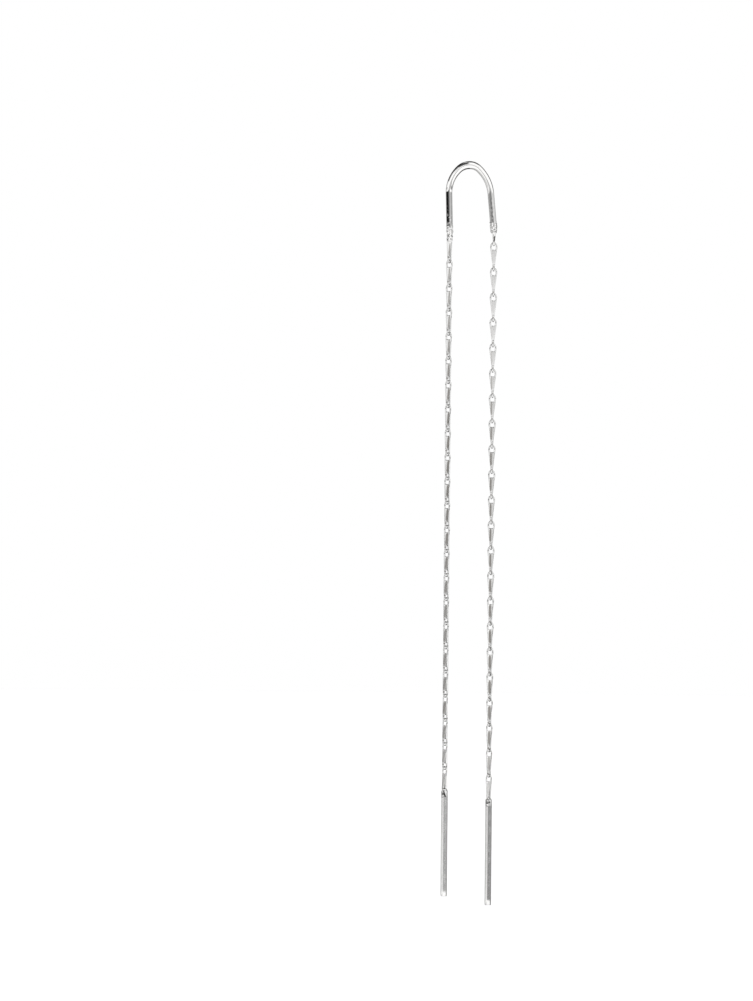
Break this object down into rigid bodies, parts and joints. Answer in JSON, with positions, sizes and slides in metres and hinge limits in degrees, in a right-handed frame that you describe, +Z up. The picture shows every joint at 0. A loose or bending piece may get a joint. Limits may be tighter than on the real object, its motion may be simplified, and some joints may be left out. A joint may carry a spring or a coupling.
{
  "type": "chain earring",
  "caption": "Threader earring: a bent ear wire carries two fine hanging chains of hairpin links, each ending in a slim round threading bar.",
  "frame": {"origin": "middle of the ear wire at the top of its bend, where it hangs in the piercing", "axes": "+Z up along the hanging chains, +X to the right seen from the front, +Y to the back; the bend lies in the XZ plane"},
  "size_m": [0.0083, 0.0012, 0.119],
  "materials": {
    "wire_silver": "polished silver, mirror bright",
    "chain_silver": "polished silver wire, soft bright",
    "bar_silver": "polished silver with fine drawing lines along it"
  },
  "bodies": {
    "earring": {"ear_wire": "wire_silver", "chain_left": "chain_silver", "chain_right": "chain_silver"},
    "left_bar": {"bar_left": "bar_silver"},
    "right_bar": {"bar_right": "bar_silver"}
  },
  "joints": [
    {"name": "left_bar_swing", "type": "hinge", "parent": "earring", "child": "left_bar", "pos_m": [-0.00311, 0, -0.10016], "axis": [0.6293, -0.7771, 0], "range_deg": [-95, 95]},
    {"name": "right_bar_swing", "type": "hinge", "parent": "earring", "child": "right_bar", "pos_m": [0.00396, 0, -0.10152], "axis": [0.8387, -0.5446, 0], "range_deg": [-95, 95]}
  ]
}
